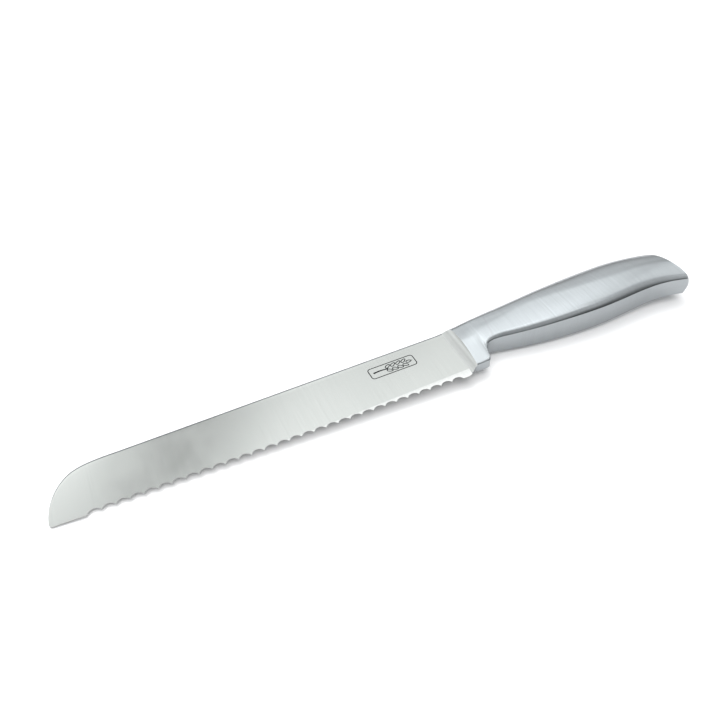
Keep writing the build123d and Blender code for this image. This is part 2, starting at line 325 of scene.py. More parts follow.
blade_steel = steel(
    "blade_steel_satin", colour=(0.590, 0.607, 0.585), rough=0.205,
    brush=(1300.0, 14.0, 14.0), aniso=0.5, streak=0.030, bump=0.045, cloud=0.012,
)
fillet_steel = steel(
    "bolster_fillet_ground", colour=(0.590, 0.604, 0.588), rough=0.33,
    brush=(1000.0, 30.0, 30.0), aniso=0.4, streak=0.03, bump=0.04, cloud=0.02,
)
# The ground bevels and the edge: the lighter colour is a painted highlight, the bright band the bevels
# show. The finer grind lines and the roughness are the bevel's own grind.
ground_painted_highlight_steel = steel(
    "blade_edge_ground_painted_highlight", colour=(0.625, 0.636, 0.620), rough=0.22,
    brush=(1900.0, 90.0, 90.0), aniso=0.4, streak=0.04, bump=0.06, cloud=0.01,
)
# The spine's round and the strip across it: the dark blue-grey colour is painted shade, a grey line
# where the steel would mirror the bright floor. The higher roughness is the spine's own rougher finish.
spine_painted_shade_steel = steel(
    "blade_spine_rough_painted_shade", colour=(0.300, 0.318, 0.330), rough=0.38,
    brush=(500.0, 500.0, 1400.0), aniso=0.1, streak=0.10, bump=0.15, cloud=0.04, wear_gain=0.10,
)
handle_steel = steel(
    "handle_steel_brushed", colour=(0.583, 0.616, 0.633), rough=0.205,
    brush=(1100.0, 18.0, 18.0), aniso=0.5, streak=0.055, bump=0.07, cloud=0.016,
)
weld_steel = steel(
    "weld_steel_ground_flush", colour=(0.575, 0.600, 0.618), rough=0.225,
    brush=(1000.0, 40.0, 40.0), aniso=0.4, streak=0.03, bump=0.04, cloud=0.02,
)
etched = steel(
    "etched_oxide_grey", colour=(0.050, 0.054, 0.056), rough=0.60,
    brush=(2500.0, 2500.0, 2500.0), aniso=0.0, streak=0.20, bump=0.2, cloud=0.10, wear_gain=0.0,
)

# ------------------------------------------------------------------ blade: sizes
SPINE_HALF, EDGE_HALF = 1.0, 0.45  # half thickness at the spine and at y = 0
SPINE_Y = 32.1
JOINT_X = -0.3  # where the blade meets the bolster
SPINE_RISE, SPINE_RISE_X = 0.22, -4.0  # the spine lifts a little from here to the joint
SPINE_ROUND_WIDTH, SPINE_ROUND_DEPTH = 0.80, 0.22

PITCH, SCALLOPS, FIRST_X = 6.0, 30, -6.1
LAST_X = FIRST_X - SCALLOPS * PITCH
SCALLOP_R = 3.25
SCALLOP_SLOPE = math.tan(math.radians(20.0))
SCALLOP_CENTRE_Y = -math.sqrt(SCALLOP_R**2 - (PITCH / 2) ** 2)
NO_SCALLOP_Z = -9.0  # far below the blade
COLUMNS_PER_SCALLOP = 18

# The left-hand bevel narrows from the heel to nothing.
BEVEL_TOP, BEVEL_START_X, BEVEL_END_X = 4.2, -2.0, -122.0
BEVEL_ANGLE = math.radians(5.5)
# The right-hand bevel where there are no scallops.
PLAIN_TOP, PLAIN_SLOPE = 2.0, math.tan(math.radians(10.0))

HEEL_CURVE_X, HEEL_LIFT = -3.0, 0.9  # the edge curves up from here to the joint
HEEL_ROW_Y = 4.3  # lowest full-length row at the heel
TANG_LOW_Y, TANG_HIGH_Y = 18.0, 28.0
TANG_HALF, TANG_LENGTH = 0.5, 30.0

# x, y along the spine, down the curved nose to the lower corner
TIP_CURVE = np.array([
    (-169.0, 28.4), (-174.0, 28.37), (-178.7, 28.1), (-182.8, 27.6), (-186.2, 26.8),
    (-188.8, 25.8), (-191.0, 24.4), (-192.8, 22.9), (-194.4, 21.3), (-195.7, 19.6),
    (-196.9, 17.8), (-197.9, 16.0), (-198.75, 14.2), (-199.5, 12.3), (-200.1, 10.4),
    (-200.6, 8.4), (-201.0, 6.4), (-201.3, 4.2), (-BLADE_LENGTH, 2.2),
])
SPINE_BEND_X, SPINE_BEND_Y = TIP_CURVE[0]
SPINE_POINTS = 8  # points of the tip curve that the spine height is read from
# x, y round the lower corner of the tip, from the straight edge to the end of the nose
CORNER = np.array(
    [(-200.0, 0.45), (-200.62, 0.62), (-201.1, 1.0), (-201.33, 1.55), (-BLADE_LENGTH, 2.2)]
)


# ------------------------------------------------------------------ blade: surfaces
def face_z(y):
    """Half thickness of the tapered blade."""
    return EDGE_HALF + (SPINE_HALF - EDGE_HALF) * np.asarray(y, float) / SPINE_Y


bevel_start = np.array([BEVEL_START_X, BEVEL_TOP, float(face_z(BEVEL_TOP))])
bevel_line = np.array([BEVEL_END_X, 0.0, float(face_z(0.0))]) - bevel_start
bevel_fall = np.array([0.0, -math.cos(BEVEL_ANGLE), -math.sin(BEVEL_ANGLE)])
bevel_normal = np.cross(bevel_line, bevel_fall)


def left_z(x, y):
    normal_x, normal_y, normal_z = bevel_normal
    in_plane = normal_x * (x - bevel_start[0]) + normal_y * (y - bevel_start[1])
    return np.minimum(face_z(y), bevel_start[2] - in_plane / normal_z)


def plain_z(y):
    """Right-hand surface without scallops."""
    return np.maximum(-face_z(y), -face_z(PLAIN_TOP) + (PLAIN_TOP - y) * PLAIN_SLOPE)


def nearest_scallop(x):
    """Distance from its centre, and the y and z of its arc at x."""
    i = np.clip(np.round((FIRST_X - x) / PITCH - 0.5), 0, SCALLOPS - 1)
    centre_x = FIRST_X - PITCH * (i + 0.5)
    offset = np.abs(x - centre_x)
    arc_y = SCALLOP_CENTRE_Y + np.sqrt(np.maximum(SCALLOP_R**2 - offset**2, 0.0))
    return offset, arc_y, left_z(centre_x, 1.0)


def scallop_z(x, y):
    """Right-hand surface of the nearest scallop, or far below where there is none."""
    offset, arc_y, arc_z = nearest_scallop(x)
    return np.where(offset <= SCALLOP_R, arc_z - (y - arc_y) * SCALLOP_SLOPE, NO_SCALLOP_Z)


def spine_at(x):
    slope = (SPINE_Y - SPINE_BEND_Y) / (JOINT_X - SPINE_BEND_X)
    k = np.clip((x - SPINE_RISE_X) / (JOINT_X - SPINE_RISE_X), 0, 1)
    straight = SPINE_Y + (x - JOINT_X) * slope + SPINE_RISE * k * k * (3 - 2 * k)
    points = TIP_CURVE[:SPINE_POINTS]
    curve = cubic(-points[:, 0], points[:, 1], np.clip(-x, -points[0, 0], -points[-1, 0]))
    return float(np.where(x > SPINE_BEND_X, straight, curve))


def plain_low(x):
    """Lower outline where there are no scallops."""
    if x > HEEL_CURVE_X:
        return HEEL_LIFT * ((x - HEEL_CURVE_X) / (JOINT_X - HEEL_CURVE_X)) ** 1.95
    if x < LAST_X:
        corner_x, corner_y = CORNER[0]
        return (LAST_X - x) / (LAST_X - corner_x) * corner_y
    return 0.0


def scallop_low(x):
    """y at which the scallop at x meets the left-hand surface."""
    _, arc_y, arc_z = nearest_scallop(x)
    y = float(arc_y)
    for _ in range(8):
        gap = arc_z - (y - arc_y) * SCALLOP_SLOPE - float(left_z(x, y))
        y += gap / (SCALLOP_SLOPE + 0.09)
    return max(float(y), 0.0)


def right_bevel_top(x, kind):
    if kind == "scallop":
        _, arc_y, arc_z = nearest_scallop(x)
        z_at_zero = arc_z + arc_y * SCALLOP_SLOPE
        taper = (SPINE_HALF - EDGE_HALF) / SPINE_Y
        return float((z_at_zero + EDGE_HALF) / (SCALLOP_SLOPE - taper))
    if kind == "plain" and scallop_z(x, 0.0) > plain_z(0.0):
        # An end scallop runs out into this plain length.
        y = float(bisect(lambda y: plain_z(y) - scallop_z(x, y), 0.0, 4.0, 40))
        return max(y, PLAIN_TOP) if y > PLAIN_TOP - 0.1 else y
    return PLAIN_TOP


# ------------------------------------------------------------------ blade: columns and rows
def blade_columns():
    """Lower x, y, upper x, y and kind of each column, from the joint to the nose."""
    columns = []

    def upright(x, kind="plain"):
        low = scallop_low(x) if kind == "scallop" else plain_low(x)
        columns.append((x, low, x, spine_at(x), kind))

    for x in list(np.linspace(JOINT_X, -5.85, 20)) + [-5.852, -5.88, -5.95, -6.02]:
        upright(x)
    for i in range(SCALLOPS * COLUMNS_PER_SCALLOP + 1):
        upright(FIRST_X - PITCH * i / COLUMNS_PER_SCALLOP, "scallop")
    for distance in (0.08, 0.15, 0.22, 0.248, 0.252):
        upright(LAST_X - distance)
    # At the tip the columns fan round from the straight edge to the nose.
    fan_count, straight_count = 56, 38
    fan_x = LAST_X - 0.45
    upper = spaced_along(np.concatenate([[(fan_x, spine_at(fan_x))], TIP_CURVE[5:]]), fan_count)
    straight = [(x, plain_low(x)) for x in np.linspace(fan_x, CORNER[0, 0], straight_count)]
    corner = spaced_along(CORNER, fan_count - straight_count + 1)[1:]
    for low, high in zip(np.concatenate([straight, corner]), upper):
        columns.append((low[0], low[1], high[0], high[1], "tip"))
    return columns


heel_row_top = spine_at(JOINT_X) - 0.25
tang_shares = [
    (y - HEEL_ROW_Y) / (heel_row_top - HEEL_ROW_Y) for y in (TANG_LOW_Y, TANG_HIGH_Y)
]
# Places of the rows on the flat, from its lower end (0) to the rounded spine (1).
flat_shares = sorted([0.0, 0.04, 0.1, 0.18, 0.27, 0.38, 0.57, 0.66, 0.76, 0.92, 1.0] + tang_shares)
BEVEL_ROWS = 4  # rows below the flat's own


def column_rows(column, bevel_top, shoulder, flat_gap):
    """Fractions up a column: edge, mid bevel, bevel top, shoulder, the flat, spine.

    shoulder and flat_gap are distances above the bevel's top.
    """
    low_x, low_y, top_x, top_y, _ = column
    length = math.hypot(top_x - low_x, top_y - low_y)
    span = max(length, 1e-6)
    rise = top_y - low_y

    def fraction_at(y):
        return 0.0 if rise < 1e-6 else min(0.9, max(0.0, (y - low_y) / rise))

    bevel = max(fraction_at(bevel_top), min(0.12 / span, 0.2))
    flat = bevel + flat_gap / span if length > 4 else bevel + 0.12
    flat = max(min(flat, 0.5), min(fraction_at(HEEL_ROW_Y), 0.5) if low_x > -6.0 else 0.0)
    top = 1.0 - min(SPINE_ROUND_WIDTH / span, 0.3)
    rows = [0.0, bevel * 0.5, bevel, min(bevel + shoulder / span, bevel + 0.1)]
    return rows + [flat + (top - flat) * share for share in flat_shares] + [1.0]


def column_points(column, rows, surface_z, side):
    """Points of one side of a column; the last one is drawn in to round the spine."""
    low_x, low_y, top_x, top_y, _ = column
    run, rise = top_x - low_x, top_y - low_y
    points = []
    for fraction in rows:
        x, y = low_x + run * fraction, low_y + rise * fraction
        points.append([x, y, float(surface_z(x, y))])
    depth = min(SPINE_ROUND_DEPTH, 0.8 * abs(points[-1][2]))
    points[-1][2] -= side * depth * min(1.0, math.hypot(run, rise))
    return points


def right_z(x, y):
    return np.maximum(plain_z(y), scallop_z(x, y))


left, right = [], []
for column in blade_columns():
    x, kind = column[0], column[4]
    bevel_top = BEVEL_TOP * (x - BEVEL_END_X) / (BEVEL_START_X - BEVEL_END_X)
    rows = column_rows(column, bevel_top, shoulder=0.45, flat_gap=0.85)
    left.append(column_points(column, rows, left_z, 1))
    rows = column_rows(column, right_bevel_top(x, kind), shoulder=0.3, flat_gap=0.7)
    right_surface = (lambda x, y: plain_z(y)) if kind == "tip" else right_z
    right.append(column_points(column, rows, right_surface, -1))
    if kind == "scallop":
        right[-1][0][2] = left[-1][0][2]
left, right = np.array(left), np.array(right)
row_count = left.shape[1]

# ------------------------------------------------------------------ blade: mesh
FLAT_MAT, GROUND_HIGHLIGHT_MAT, SPINE_SHADE_MAT = 0, 1, 2
shape = Shape()
wear = np.zeros(left.shape[:2])
wear[:, 0], wear[:, 1], wear[:, -2] = 1.0, 0.5, 0.6
left_tags = np.zeros(left.shape[:2], int)
left_tags[:, 0], left_tags[:, 2], left_tags[:, -2], left_tags[:, -1] = 1, 3, 5, 7
left_tags[left[:, 0, 0] < BEVEL_END_X + 0.5, 2] = 0
right_tags = left_tags.copy()
right_tags[:, 2], right_tags[:, -2], right_tags[:, -1] = 4, 6, 8
left_idx = shape.add(left, left[..., 0], left[..., 1], wear, left_tags)
right_idx = shape.add(right, right[..., 0], -right[..., 1], wear, right_tags)
left_mats = np.full((len(left) - 1, row_count - 1), FLAT_MAT)
# The last row rounds the spine and takes the darkened steel, whose colour is painted shade.
left_mats[:, -1] = SPINE_SHADE_MAT
right_mats = left_mats.copy()
# The bevel rows take the lightened ground steel, whose colour is a painted highlight.
left_mats[left[:-1, 0, 0] > BEVEL_END_X + 1.0, 0:2] = GROUND_HIGHLIGHT_MAT
right_mats[:, 0:2] = GROUND_HIGHLIGHT_MAT
shape.quads(left_idx, left_mats)
shape.quads(right_idx, right_mats)
# Across the spine: the darkened steel, its colour painted shade.
shape.strip(left_idx[:, -1], right_idx[:, -1], SPINE_SHADE_MAT)
# Across the edge: the lightened ground steel, its colour a painted highlight.
shape.strip(left_idx[:, 0], right_idx[:, 0], GROUND_HIGHLIGHT_MAT)

# The heel's end face, with the tang standing out of it.
left_end, right_end = left_idx[0], right_idx[0]
row_low, row_high = [BEVEL_ROWS + flat_shares.index(share) for share in tang_shares]
tang_low, tang_high = left[0, row_low, 1], left[0, row_high, 1]


def tang_corners(x, u):
    corners = [
        (x, tang_low, TANG_HALF), (x, tang_high, TANG_HALF),
        (x, tang_high, -TANG_HALF), (x, tang_low, -TANG_HALF),
    ]
    return shape.add(corners, u, [0, 1, 2, 3])


root = tang_corners(JOINT_X, 0)
tang_end = tang_corners(JOINT_X + TANG_LENGTH, TANG_LENGTH)
for i in range(row_count - 1):
    if row_low <= i < row_high:
        continue
    face = [left_end[i], left_end[i + 1]]
    if i == row_low - 1:
        face += [root[0], root[3]]
    face += [right_end[i + 1], right_end[i]]
    if i == row_high:
        face += [root[2], root[1]]
    shape.face(face)
shape.face([*left_end[row_low : row_high + 1], root[1], root[0]])
shape.face([*right_end[row_low : row_high + 1], root[2], root[3]])
for a in range(4):
    b = (a + 1) % 4
    shape.face([root[a], root[b], tang_end[b], tang_end[a]])
shape.face(tang_end)
blade = shape.make("blade_serrated", [blade_steel, ground_painted_highlight_steel, spine_painted_shade_steel], angle=24)
stand_in(blade, "blade")

# ------------------------------------------------------------------ handle sections
# Each section stands on a line from the underside to the back; "up" is the distance along it.
Section = namedtuple(
    "Section",
    "under_x under_y back_x back_y "  # ends of the line
    "base_half ridge_half ridge_share "  # half widths; ridge height as a share of the line
    "low_drop low_power crease_width "  # narrowing below the ridge; height of the crease's round
    "high_drop high_power round_height",  # narrowing above the ridge; height of the back's round
)
STATIONS = np.array([
    (-1.5, 0.4, -1.5, 32.2, 2.00, 4.00, 0.590, 1.80, 1.30, 1, 0.27, 1.79, 5),
    (0.8, 1.7, 0.2, 32.5, 2.10, 4.10, 0.590, 1.80, 1.30, 1, 0.32, 1.79, 5),
    (3, 2.9, 2, 32.8, 2.20, 4.20, 0.580, 1.78, 1.30, 1, 0.36, 1.79, 5),
    (5.4, 3, 4.6, 33.1, 2.30, 4.30, 0.570, 1.78, 1.32, 1, 0.40, 1.79, 5),
    (8.2, 3.1, 7.6, 33.4, 2.40, 4.45, 0.564, 1.80, 1.35, 1.1, 0.45, 1.81, 5),
    (10.8, 3.4, 10.6, 33.8, 2.45, 4.70, 0.559, 1.90, 1.38, 1.2, 0.49, 1.84, 5),
    (12, 4.7, 13, 34.1, 2.65, 4.90, 0.553, 1.80, 1.42, 1.4, 0.52, 1.86, 5),
    (12.4, 7.4, 15, 34.3, 3.00, 5.05, 0.516, 1.42, 1.45, 1.6, 0.56, 1.88, 5),
    (13.4, 10.2, 17.2, 34.6, 3.60, 5.25, 0.470, 0.92, 1.48, 1.9, 0.63, 1.90, 5),
    (15.1, 12.3, 19.8, 34.9, 4.20, 5.50, 0.434, 0.58, 1.50, 2.2, 0.70, 2.07, 5),
    (17.8, 13.2, 22.8, 35.2, 4.50, 5.80, 0.434, 0.46, 1.64, 2.6, 0.77, 2.03, 5.1),
    (22, 13.1, 26.5, 35.7, 4.70, 6.10, 0.464, 0.47, 1.78, 3, 0.87, 1.97, 5.2),
    (28, 12.1, 31.5, 36.3, 5.00, 6.50, 0.494, 0.55, 1.82, 3.3, 1.00, 2.03, 5.4),
    (36, 10.8, 38.5, 37.1, 5.30, 7.00, 0.554, 0.72, 2.01, 3.6, 1.09, 1.93, 5.6),
    (46, 9.5, 48, 38, 5.60, 7.60, 0.574, 0.88, 2.21, 4, 1.18, 1.95, 5.8),
    (58, 8.5, 59.5, 39.3, 5.90, 8.10, 0.544, 0.91, 2.38, 4.4, 1.49, 1.95, 6),
    (70, 7.9, 71, 40.5, 6.00, 8.40, 0.514, 0.87, 2.55, 4.8, 1.84, 2.06, 6.2),
    (82, 7.8, 82.5, 41.4, 6.00, 8.50, 0.490, 0.95, 2.53, 5, 2.04, 2.02, 6.3),
    (94, 8.5, 94, 42, 5.90, 8.50, 0.456, 1.16, 2.49, 5, 2.15, 2.00, 6.4),
    (106, 9.6, 105.5, 42.3, 5.75, 8.35, 0.423, 1.39, 2.42, 4.8, 2.15, 2.00, 6.4),
    (117, 10.3, 116.5, 42, 5.50, 8.05, 0.431, 1.41, 1.95, 4.4, 2.15, 2.00, 6.3),
    (127, 9.9, 127, 41, 5.20, 7.65, 0.448, 1.38, 1.58, 3.9, 2.15, 2.00, 6.2),
    (135, 8.5, 136, 39.5, 4.95, 7.25, 0.456, 1.31, 1.35, 3.5, 2.15, 2.00, 6.1),
    (142, 6.7, 144, 37.6, 4.80, 6.90, 0.446, 1.26, 1.35, 3.2, 2.15, 2.00, 6),
    (150, 4.2, 153, 35, 4.65, 6.50, 0.446, 1.21, 1.35, 3, 2.15, 2.00, 5.9),
])
STATION_KNOTS = STATIONS[:, Section._fields.index("back_x")]
LAST_STATION = 153.0
# y, x of the handle's end wall on its centre plane
END_WALL = np.array([
    (-6.0, 110.0), (0.0, 119.0), (4.0, 127.0), (6.2, 135.0), (6.7, 137.6), (7.3, 139.6),
    (8.4, 141.3), (10.0, 142.4), (12.5, 143.1), (16.0, 143.4), (20.0, 143.1), (24.0, 142.4),
    (27.0, 141.5), (30.0, 140.3), (33.0, 138.7), (35.5, 136.8), (37.3, 134.9), (38.6, 132.6),
    (39.6, 130.0), (40.6, 126.5), (42.5, 117.0), (46.0, 98.0),
])
BULGE = 0.087  # how fast the end wall falls back to the sides, per mm
SEAM = 0.35  # half width of the seam weld
SHEET = 1.0  # thickness of the handle halves
SPIGOT_GAP = 0.05

# Rows round the left half of a section, from the middle of the underside to the middle of the
# back, as (part, share of that part).
BAND_STEPS, LOW_STEPS, SIDE_STEPS, ROUND_STEPS = 12, 9, 34, 14
ROWS = [("under", 0.0)] + [("band", i / BAND_STEPS) for i in range(BAND_STEPS + 1)]
CREASE = len(ROWS) - 1  # where the flat underside meets the side
ROWS += [("low", (i / LOW_STEPS) ** 1.3) for i in range(1, LOW_STEPS + 1)]
ROWS += [("side", i / SIDE_STEPS) for i in range(1, SIDE_STEPS + 1)]
ROWS += [("round", math.sin(math.pi / 2 * i / ROUND_STEPS)) for i in range(1, ROUND_STEPS + 1)]
ROWS += [("back", 1.0)]
ROW_PARTS = np.array([part for part, _ in ROWS])
ROW_SHARES = np.array([share for _, share in ROWS])
all_rows = np.arange(len(ROWS))
on_underside = (ROW_PARTS == "band") | (ROW_PARTS == "under")


def section(station):
    """Section values at a station, which is an x on the back."""
    return Section(*np.moveaxis(cubic(STATION_KNOTS, STATIONS, station), -1, 0))


def section_height(s):
    return np.hypot(s.back_x - s.under_x, s.back_y - s.under_y)


def half_width(s, up):
    height = section_height(s)
    ridge, round_start = s.ridge_share * height, height - s.round_height
    below = np.maximum((ridge - up) / ridge, 0) ** s.low_power
    crease = np.maximum(0, 1 - up / s.crease_width) ** 2.2
    crease_drop = s.ridge_half - s.low_drop - s.base_half
    lower = s.ridge_half - s.low_drop * below - crease_drop * crease
    above = np.maximum((up - ridge) / (round_start - ridge), 0) ** s.high_power
    z = np.where(up < ridge, lower, s.ridge_half - s.high_drop * above)
    into_round = np.clip((up - round_start) / s.round_height, 0, 1)
    return z * np.maximum(0, 1 - into_round**2.2) ** (1 / 2.2)


def surface(station, rows):
    """Points of the outer surface, and the distance of each round the section."""
    s = section(station)
    height = section_height(s)
    round_start = height - s.round_height
    seam_up = bisect(lambda up: SEAM - half_width(s, up), round_start, height, 34)
    part, share = ROW_PARTS[rows], ROW_SHARES[rows]
    up = np.where(part == "low", s.crease_width * share, 0.0)
    side_up = s.crease_width + (round_start - s.crease_width) * share
    up = np.where(part == "side", side_up, up)
    up = np.where(part == "round", round_start + (seam_up - round_start) * share, up)
    up = np.where(part == "back", height, up)
    z = half_width(s, up)
    z = np.where((part == "round") & (share >= 1.0), SEAM, z)
    z = np.where((part == "back") | (part == "under"), 0.0, z)
    z = np.where(part == "band", SEAM + (s.base_half - SEAM) * share, z)
    x = s.under_x + (s.back_x - s.under_x) * up / height
    y = s.under_y + (s.back_y - s.under_y) * up / height
    around = np.where((part == "under") | (part == "band"), z - s.base_half, up)
    return np.stack([x, y, z], -1), around


# Shares of a section's height, closer together towards the back, for offsetting its outline.
DENSE = np.concatenate([
    np.linspace(0, 0.82, 60), 0.82 + 0.18 * np.sin(np.linspace(0, math.pi / 2, 60))[1:],
])
BACK_SAMPLES = 40  # samples near the back in which the seam's edge is sought


def inner(station, row, wall):
    """One point of the surface offset inwards by wall."""
    s = section(station)
    height = section_height(s)
    up = height * DENSE
    z = half_width(s, up)
    step_up, step_z = np.gradient(up), np.gradient(z)
    step = np.hypot(step_up, step_z)
    in_up, in_z = up + wall * step_z / step, z - wall * step_up / step
    in_up[-1], in_z[-1] = height - wall, 0.0
    keep = (in_up > wall + 0.25) & (in_z >= 0)
    in_up, in_z = in_up[keep], in_z[keep]
    order = np.argsort(in_up)
    in_up, in_z = in_up[order], in_z[order]
    low_z = in_z[0] - (in_z[1] - in_z[0]) / (in_up[1] - in_up[0]) * (in_up[0] - wall)
    in_up, in_z = np.concatenate([[wall], in_up]), np.concatenate([[low_z], in_z])
    seam_up = np.interp(-SEAM, -in_z[-BACK_SAMPLES:], in_up[-BACK_SAMPLES:])
    round_start = height - s.round_height
    low_end = wall + s.crease_width
    part, share = ROW_PARTS[row], ROW_SHARES[row]
    if part == "under":
        row_up, row_z = wall, 0.0
    elif part == "band":
        row_up, row_z = wall, SEAM + (low_z - SEAM) * share
    elif part == "back":
        row_up, row_z = height - wall, 0.0
    else:
        if part == "low":
            row_up = wall + s.crease_width * share
        elif part == "side":
            row_up = low_end + (round_start - low_end) * share
        else:
            row_up = round_start + (seam_up - round_start) * share
        at_seam = part == "round" and share >= 1.0
        row_z = SEAM if at_seam else float(np.interp(row_up, in_up, in_z))
    k = row_up / height
    x = s.under_x + (s.back_x - s.under_x) * k
    return np.array([x, s.under_y + (s.back_y - s.under_y) * k, row_z])


def outer_columns(rows, start, end, steps):
    """Outer points and distances round, for evenly spaced stations of each row."""
    return surface(start + (end - start) * (np.arange(steps + 1)[:, None] / steps), rows)


def inner_columns(rows, start, end, steps, wall):
    return np.array([
        [inner(a + (b - a) * k / steps, row, wall) for a, b, row in zip(start, end, rows)]
        for k in range(steps + 1)
    ])


# The bolster's rear face is a plane through one section.
BOLSTER_STATION = 23.5
WELD_LENGTH = 0.9
cut = section(BOLSTER_STATION)
cut_origin = np.array([cut.under_x, cut.under_y, 0.0])
cut_up = np.array([cut.back_x - cut.under_x, cut.back_y - cut.under_y])
cut_up = cut_up / np.hypot(*cut_up)
cut_normal = np.array([cut_up[1], -cut_up[0], 0.0])
CUT_SEARCH = (10.0, 60.0)  # stations between which the planes are sought


def outer_to_plane(rows, distance):
    """Station at which each row is that far past the bolster's rear face, towards +X."""
    low, high = (np.full(len(rows), station) for station in CUT_SEARCH)
    return bisect(lambda t: (surface(t, rows)[0] - cut_origin) @ cut_normal - distance, low, high)


def inner_to_plane(rows, distance, wall):
    def past(station, row):
        return (inner(station, row, wall) - cut_origin) @ cut_normal - distance

    return np.array([bisect(lambda t: past(t, row), *CUT_SEARCH, 30) for row in rows])


# ------------------------------------------------------------------ bolster
WHEEL_R = 5.0  # radius of the ground fillet
FILLET_STEPS, BODY_STEPS, SPIGOT_STEPS = 16, 64, 6
SPIGOT_LENGTH = 5.9
SPIGOT_WALL = SHEET + SPIGOT_GAP
SLOT_GAP = 0.05


def fillet_z(x, y):
    """The ground fillet between blade and bolster, tilted with the blade's taper."""
    tilt = math.atan2(SPINE_HALF - EDGE_HALF, SPINE_Y)
    s, c = math.sin(tilt), math.cos(tilt)
    along = np.clip(x - JOINT_X, 0, WHEEL_R)
    local_z = -np.sqrt(np.maximum(WHEEL_R**2 - along**2, 0.0))
    local_y = (y - SPINE_Y + local_z * s) / c
    return WHEEL_R + SPINE_HALF + local_y * s + local_z * c


def above_surface(station):
    """How far the fillet stands outside the bolster's surface."""
    points, _ = surface(station, all_rows)
    return fillet_z(points[:, 0], points[:, 1]) - points[:, 2]


def cap(shape, ring):
    """Close a full section ring with strips from side to side."""
    for j in range(len(ROWS) - 1):
        shape.face([ring[j], ring[j + 1], ring[-j - 1], ring[-j]])


start = bisect(
    lambda t: surface(t, all_rows)[0][:, 0] - JOINT_X,
    np.full(len(ROWS), -1.5),
    np.full(len(ROWS), 6.0),
)
fillet_end = bisect(above_surface, start, np.full(len(ROWS), 7.0))
start[on_underside] = start[CREASE]
fillet_end = np.where(above_surface(start) > 0, start, fillet_end)
fillet_end[on_underside] = fillet_end[CREASE]

fillet, fillet_around = outer_columns(all_rows, start, fillet_end, FILLET_STEPS)
wheel = fillet_z(fillet[..., 0], fillet[..., 1])
narrowing = np.minimum(1.0, wheel[:, CREASE] / fillet[:, CREASE, 2])[:, None]
trimmed = np.minimum(fillet[..., 2], wheel)
fillet[..., 2] = np.where(on_underside, fillet[..., 2] * narrowing, trimmed)
fillet[0, :, 0] = JOINT_X
body, body_around = outer_columns(all_rows, fillet_end, BOLSTER_STATION, BODY_STEPS)
points = full_points(np.concatenate([fillet, body[1:]]))
around = np.concatenate([fillet_around, body_around[1:]])
wear = np.zeros(around.shape)
wear[FILLET_STEPS] = 1.0
wear[:, CREASE] = 0.8
tags = np.zeros(around.shape, int)
tags[FILLET_STEPS] = 2

shape = Shape()
idx = shape.add(
    points, points[..., 0], full_values(around), full_values(wear), full_values(tags)
)
mats = np.zeros((idx.shape[0] - 1, idx.shape[1]), int)
mats[:FILLET_STEPS] = 1
underside_ring = full_values(on_underside)
mats[:FILLET_STEPS, underside_ring & np.roll(underside_ring, -1)] = 0
shape.quads(closed(idx), mats)
cap(shape, idx[0])
# The rear face steps in to a spigot that fits inside the handle halves.
spigot_start = inner_to_plane(all_rows, 0.0, SPIGOT_WALL)
spigot_end = inner_to_plane(all_rows, SPIGOT_LENGTH, SPIGOT_WALL)
spigot = full_points(
    inner_columns(all_rows, spigot_start, spigot_end, SPIGOT_STEPS, SPIGOT_WALL)
)
spigot_idx = shape.add(spigot, spigot[..., 0], 0.0)
shape.strip(closed(idx)[-1], closed(spigot_idx)[0])
shape.quads(closed(spigot_idx))
cap(shape, spigot_idx[-1])
bolster = shape.make("bolster_ground", [handle_steel, fillet_steel], angle=28)
stand_in(bolster, "bolster")


def cut_tang_slot():
    """Cut the tang's slot right through the bolster."""
    cutter = Shape()
    slot_half = TANG_HALF + SLOT_GAP
    corners = cutter.add(
        [
            (x, y, z)
            for x in (JOINT_X - 3, JOINT_X + 60)
            for y in (TANG_LOW_Y - SLOT_GAP, TANG_HIGH_Y + SLOT_GAP)
            for z in (-slot_half, slot_half)
        ],
        0,
        0,
    )
    sides = (0, 1, 3, 2), (4, 6, 7, 5), (0, 4, 5, 1), (2, 3, 7, 6), (0, 2, 6, 4), (1, 5, 7, 3)
    for side in sides:
        cutter.face([corners[i] for i in side])
    cutter_obj = cutter.make("slot_cutter", [handle_steel])
    mod = bolster.modifiers.new("slot", "BOOLEAN")
    mod.object = cutter_obj
    mod.operation = "DIFFERENCE"
    mod.solver = "EXACT"
    graph = bpy.context.evaluated_depsgraph_get()
    bolster_mesh = bpy.data.meshes.new_from_object(
        bolster.evaluated_get(graph), preserve_all_data_layers=True, depsgraph=graph
    )
    bolster.modifiers.clear()
    bolster.data = bolster_mesh
    bpy.data.objects.remove(cutter_obj)


cut_tang_slot()

# ------------------------------------------------------------------ weld between bolster and halves
WELD_STEPS = 3
weld_end = outer_to_plane(all_rows, WELD_LENGTH)
weld, weld_around = outer_columns(all_rows, BOLSTER_STATION, weld_end, WELD_STEPS)
weld = full_points(weld)
shape = Shape()
outer_idx = closed(shape.add(weld, weld[..., 0], full_values(weld_around[-1])))
inner_end = inner_to_plane(all_rows, WELD_LENGTH, SPIGOT_WALL)
weld_inner = full_points(
    inner_columns(all_rows, spigot_start, inner_end, WELD_STEPS, SPIGOT_WALL)
)
inner_idx = closed(shape.add(weld_inner, weld_inner[..., 0], 0.0))
shape.quads(outer_idx)
shape.quads(inner_idx)
for end in (0, -1):
    shape.strip(outer_idx[end], inner_idx[end])
joint = shape.make("joint_weld_ground", [weld_steel], angle=28)
stand_in(joint, "joint_weld")

# ------------------------------------------------------------------ handle halves
LENGTH_STEPS, INNER_STEPS = 150, 60


def end_wall_x(y, z, inset=0.0):
    return cubic(END_WALL[:, 0], END_WALL[:, 1], y) - inset - BULGE * z**2


